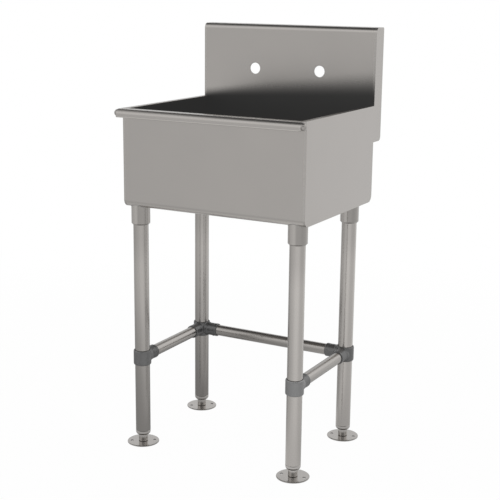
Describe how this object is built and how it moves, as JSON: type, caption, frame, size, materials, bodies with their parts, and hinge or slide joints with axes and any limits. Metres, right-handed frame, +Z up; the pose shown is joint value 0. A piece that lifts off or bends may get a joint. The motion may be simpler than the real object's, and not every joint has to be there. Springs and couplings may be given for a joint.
{
  "type": "utility sink",
  "caption": "Free-standing utility sink: deep welded bowl with rolled front edge and tall splash, on braced tube legs with screw-adjusted flanged feet.",
  "frame": {"origin": "on the floor under the centre of the bounding box", "axes": "+X across the sink to its right as seen from the front, +Y from the front to the splash, +Z up"},
  "size_m": [0.5629, 0.5042, 1.155],
  "materials": {
    "sheet_steel": "fine brushed stainless steel sheet",
    "tube_steel": "polished stainless steel tube",
    "foot_steel": "turned stainless steel",
    "polished_steel": "polished stainless steel",
    "cast_metal": "dull grey cast metal",
    "cast_zinc": "dull cast zinc",
    "insert_metal": "plain pressed metal",
    "screw_steel": "black oxide steel",
    "gasket_rubber": "black rubber",
    "fibre": "brown pressed fibre"
  },
  "bodies": {
    "sink": {"bowl_sheet": "sheet_steel", "left_side_panel": "sheet_steel", "right_side_panel": "sheet_steel", "roll_cap_left": "sheet_steel", "roll_cap_right": "sheet_steel", "strainer_body": "polished_steel", "strainer_gasket": "gasket_rubber", "friction_ring": "fibre", "strainer_locknut": "cast_zinc", "gusset_front_left": "sheet_steel", "gusset_front_right": "sheet_steel", "gusset_rear_left": "sheet_steel", "gusset_rear_right": "sheet_steel", "gusset_screws": "screw_steel", "leg_front_left": "tube_steel", "leg_front_right": "tube_steel", "leg_rear_left": "tube_steel", "leg_rear_right": "tube_steel", "tee_front_left": "cast_metal", "tee_front_right": "cast_metal", "corner_rear_left": "cast_metal", "corner_rear_right": "cast_metal", "collar_screws": "screw_steel", "socket_screws": "screw_steel", "brace_left": "tube_steel", "brace_right": "tube_steel", "brace_rear": "tube_steel", "foot_insert_front_left": "insert_metal", "foot_insert_front_right": "insert_metal", "foot_insert_rear_left": "insert_metal", "foot_insert_rear_right": "insert_metal"},
    "basket": {"strainer_basket": "polished_steel", "basket_knob": "polished_steel"},
    "flange_front_left": {"foot_flange_front_left": "foot_steel"},
    "stem_front_left": {"foot_stem_front_left": "foot_steel"},
    "flange_front_right": {"foot_flange_front_right": "foot_steel"},
    "stem_front_right": {"foot_stem_front_right": "foot_steel"},
    "flange_rear_left": {"foot_flange_rear_left": "foot_steel"},
    "stem_rear_left": {"foot_stem_rear_left": "foot_steel"},
    "flange_rear_right": {"foot_flange_rear_right": "foot_steel"},
    "stem_rear_right": {"foot_stem_rear_right": "foot_steel"}
  },
  "joints": [
    {"name": "basket_lift", "type": "slide", "parent": "sink", "child": "basket", "axis": [0, 0, 1], "range_m": [0, 0.3]},
    {"name": "foot_front_left_height", "type": "slide", "parent": "sink", "child": "flange_front_left", "axis": [0, 0, -1], "range_m": [0, 0.025]},
    {"name": "foot_front_left_turn", "type": "hinge", "parent": "flange_front_left", "child": "stem_front_left", "pos_m": [-0.237, -0.18885, 0], "axis": [0, 0, -1], "range_deg": [0, 3897]},
    {"name": "foot_front_right_height", "type": "slide", "parent": "sink", "child": "flange_front_right", "axis": [0, 0, -1], "range_m": [0, 0.025]},
    {"name": "foot_front_right_turn", "type": "hinge", "parent": "flange_front_right", "child": "stem_front_right", "pos_m": [0.237, -0.18885, 0], "axis": [0, 0, -1], "range_deg": [0, 3897]},
    {"name": "foot_rear_left_height", "type": "slide", "parent": "sink", "child": "flange_rear_left", "axis": [0, 0, -1], "range_m": [0, 0.025]},
    {"name": "foot_rear_left_turn", "type": "hinge", "parent": "flange_rear_left", "child": "stem_rear_left", "pos_m": [-0.237, 0.13115, 0], "axis": [0, 0, -1], "range_deg": [0, 3897]},
    {"name": "foot_rear_right_height", "type": "slide", "parent": "sink", "child": "flange_rear_right", "axis": [0, 0, -1], "range_m": [0, 0.025]},
    {"name": "foot_rear_right_turn", "type": "hinge", "parent": "flange_rear_right", "child": "stem_rear_right", "pos_m": [0.237, 0.13115, 0], "axis": [0, 0, -1], "range_deg": [0, 3897]}
  ],
  "couplings": [
    {"joint": "foot_front_left_height", "follows": "foot_front_left_turn", "m_per_rad": 0.0003675},
    {"joint": "foot_front_right_height", "follows": "foot_front_right_turn", "m_per_rad": 0.0003675},
    {"joint": "foot_rear_left_height", "follows": "foot_rear_left_turn", "m_per_rad": 0.0003675},
    {"joint": "foot_rear_right_height", "follows": "foot_rear_right_turn", "m_per_rad": 0.0003675}
  ]
}
